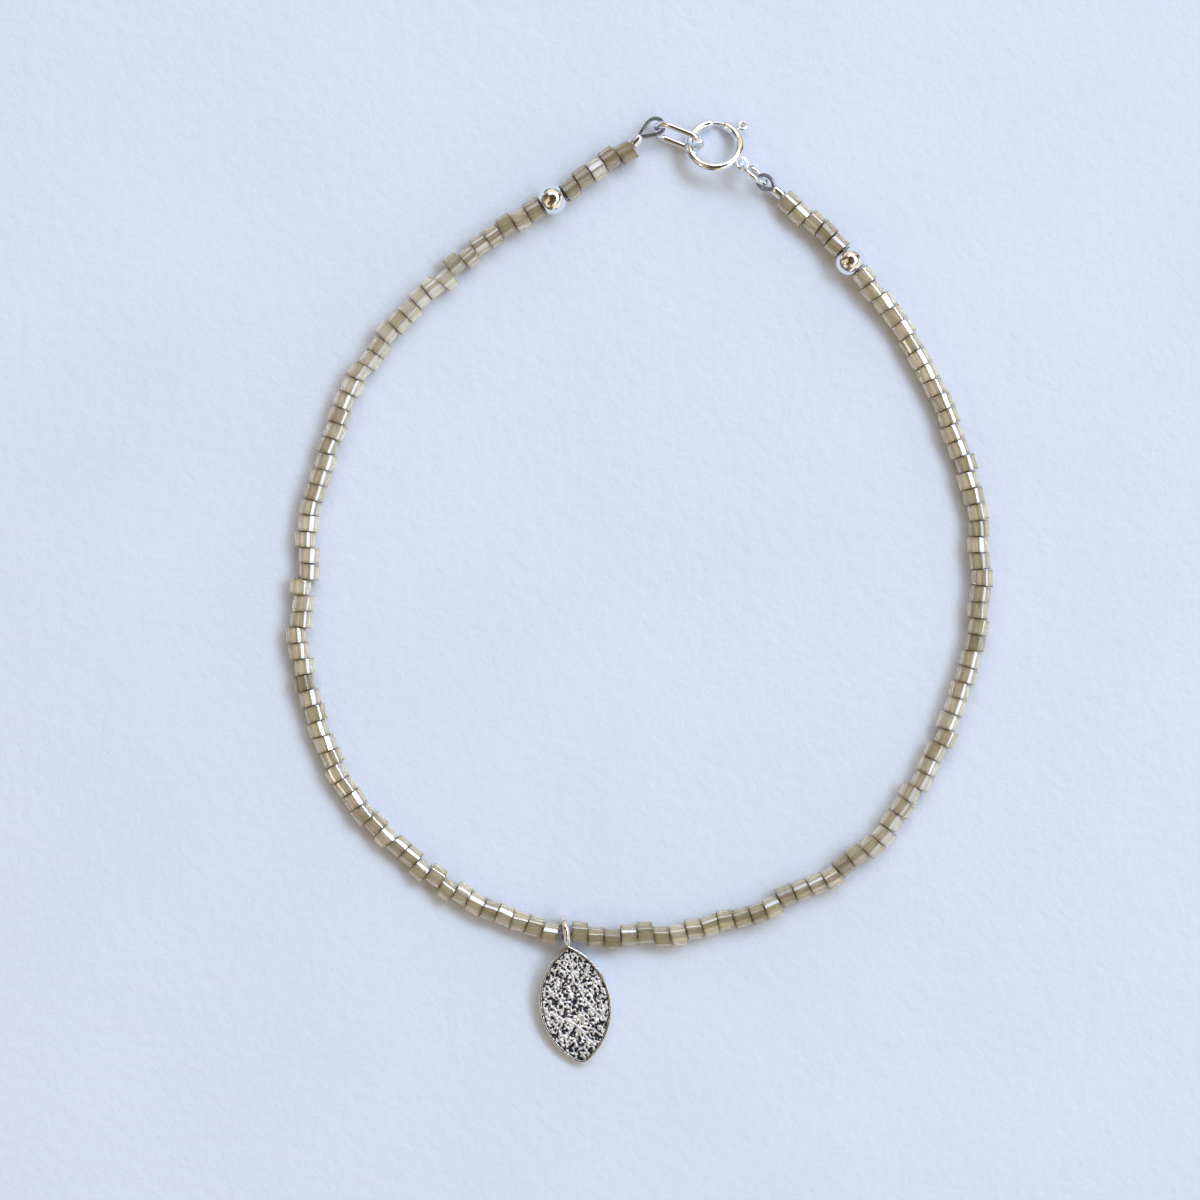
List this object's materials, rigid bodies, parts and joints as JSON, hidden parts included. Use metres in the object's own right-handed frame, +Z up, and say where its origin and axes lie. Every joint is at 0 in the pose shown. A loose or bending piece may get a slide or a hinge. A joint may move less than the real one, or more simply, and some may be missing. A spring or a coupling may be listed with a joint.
{
  "type": "beaded charm bracelet",
  "caption": "Thin bracelet of small glass cylinder beads on a cable, with a leaf charm, round silver beads and a spring ring clasp, closed and lying flat.",
  "frame": {"origin": "centre of the bracelet's outline, on the surface that it lies on", "axes": "+Y from the leaf charm towards the clasp, +X towards the clasp's jump ring side, +Z up from the surface"},
  "size_m": [0.0584, 0.0786, 0.0028],
  "materials": {
    "glass_beads": "khaki cylinder glass beads with a soft luster",
    "silver_beads": "polished sterling silver",
    "oxidised_silver": "silver with raised veins and dark oxidised hollows",
    "silver_findings": "polished sterling silver wire",
    "steel_cable": "fine braided steel beading cable"
  },
  "bodies": {
    "bracelet": {"glass_beads_01": "glass_beads", "glass_beads_02": "glass_beads", "glass_beads_03": "glass_beads", "glass_beads_04": "glass_beads", "glass_beads_05": "glass_beads", "glass_beads_06": "glass_beads", "glass_beads_07": "glass_beads", "glass_beads_08": "glass_beads", "glass_beads_09": "glass_beads", "glass_beads_10": "glass_beads", "glass_beads_11": "glass_beads", "glass_beads_12": "glass_beads", "silver_bead_left": "silver_beads", "silver_bead_right": "silver_beads", "leaf_charm": "oxidised_silver", "crimp_left": "silver_findings", "crimp_right": "silver_findings", "wire_loop_left": "steel_cable", "wire_loop_right": "steel_cable", "end_ring": "silver_findings", "clasp_ring": "silver_findings", "jump_ring": "silver_findings"},
    "clasp_bolt": {"clasp_bolt": "silver_findings"}
  },
  "joints": [
    {"name": "clasp_bolt_slide_back", "type": "hinge", "parent": "bracelet", "child": "clasp_bolt", "pos_m": [0.00624, 0.0369, 0.00126], "axis": [0, 0.3907, 0.9205], "range_deg": [-35, 0], "stiffness_Nm_per_rad": 0.005}
  ]
}
